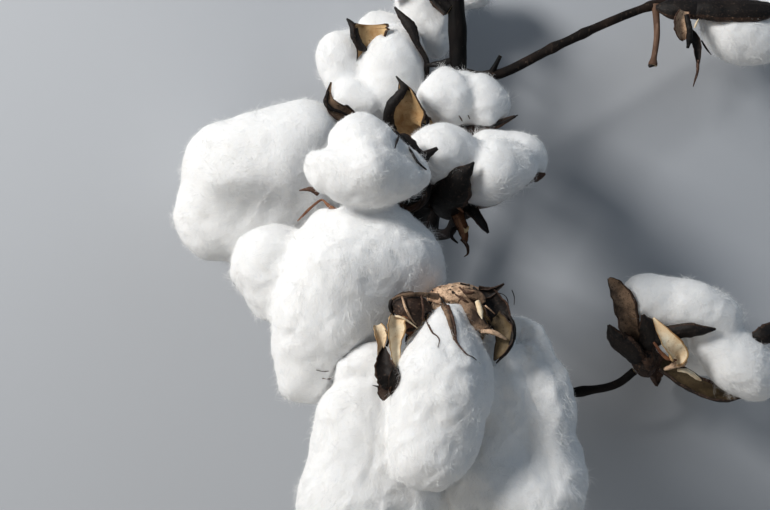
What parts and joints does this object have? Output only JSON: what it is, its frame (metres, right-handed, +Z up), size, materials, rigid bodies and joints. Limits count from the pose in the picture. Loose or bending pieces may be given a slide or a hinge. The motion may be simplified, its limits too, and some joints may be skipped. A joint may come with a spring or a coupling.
{
  "type": "cut cotton branch",
  "caption": "Cut top of a cotton plant lying on its back: a woody stem with side branches, dry burs and open bolls of fluffy white lint.",
  "frame": {"origin": "middle of the branch's outline on the ground it lies on", "axes": "+Y up the main stem towards its tip, +X to the right of the stem as it is looked down on, +Z up from the ground"},
  "size_m": [0.2398, 0.249, 0.1326],
  "materials": {
    "lint": "soft white cotton fibre, fuzzy at its edges",
    "husk": "dry leathery bur, near black outside and tan inside",
    "bark": "dark dry stem with faint lengthwise ridges"
  },
  "bodies": {
    "root": {"main_stem": "bark", "upper_twig": "bark", "twig_stub": "bark", "hanging_petiole": "bark", "side_branch": "bark", "front_stalk": "bark", "centre_stalk": "bark", "left_stalk": "bark", "right_stalk": "bark", "upper_stalk": "bark", "rear_stalk": "bark", "top_stalk": "bark", "front_bur": "husk", "centre_bur": "husk", "left_bur": "husk", "right_bur": "husk", "upper_bur": "husk", "rear_bur": "husk", "top_bur": "husk", "side_bur": "husk", "tip_bur": "husk", "front_lock_middle": "lint", "front_lock_left": "lint", "front_lock_right": "lint", "front_lock_back": "lint", "centre_lock_main": "lint", "centre_lock_top": "lint", "centre_lock_left": "lint", "centre_lock_back": "lint", "left_lock_main": "lint", "left_lock_back": "lint", "left_lock_low": "lint", "right_lock_near": "lint", "right_lock_low": "lint", "right_lock_far": "lint", "upper_lock_left": "lint", "upper_lock_right": "lint", "upper_lock_back": "lint", "rear_lock_middle": "lint", "rear_lock_left": "lint", "rear_lock_top": "lint", "rear_lock_low": "lint", "rear_lock_back": "lint", "top_lock_left": "lint", "top_lock_right": "lint", "top_lock_back": "lint", "side_lock_upper": "lint", "side_lock_lower": "lint", "side_lock_back": "lint", "tip_lock_near": "lint", "tip_lock_far": "lint", "tip_lock_back": "lint"}
  },
  "joints": []
}
